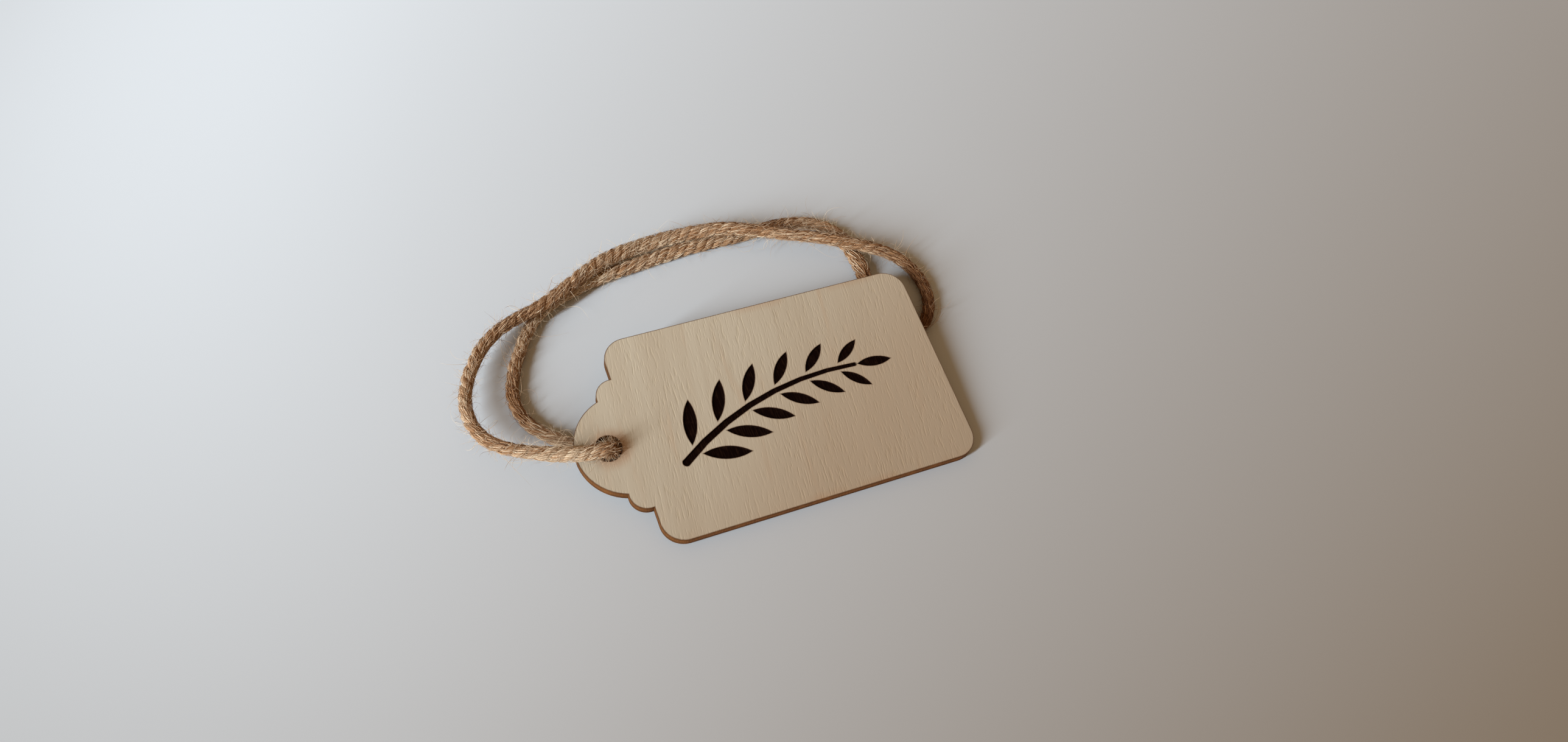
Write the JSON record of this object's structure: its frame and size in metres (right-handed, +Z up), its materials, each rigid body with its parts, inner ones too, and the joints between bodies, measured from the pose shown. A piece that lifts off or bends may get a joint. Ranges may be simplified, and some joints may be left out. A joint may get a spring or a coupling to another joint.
{
  "type": "gift tag",
  "caption": "Flat plywood gift tag with rounded corners and a scalloped round end, on a jute tie threaded through its hole.",
  "frame": {"origin": "middle of the tag's own box, at its lowest point, on the surface that it lies on", "axes": "+X along the tag towards its square end, +Y across the tag towards the loop of the tie, +Z up"},
  "size_m": [0.0934, 0.0629, 0.0072],
  "materials": {
    "face_wood": "raw sanded veneer with burnt cut edges",
    "core_wood": "edge burnt brown by the laser cut",
    "jute": "hairy plied twine"
  },
  "bodies": {
    "twine": {"twine_front_leg": "jute", "twine_hole_turn": "jute", "twine_back_leg": "jute"},
    "tag": {"front_veneer": "face_wood", "core_veneer": "core_wood", "back_veneer": "face_wood"}
  },
  "joints": [
    {"name": "tag_swing", "type": "hinge", "parent": "twine", "child": "tag", "pos_m": [-0.02921, 0, 0.00354], "axis": [0, 0, 1], "range_deg": [-45, 0]}
  ]
}
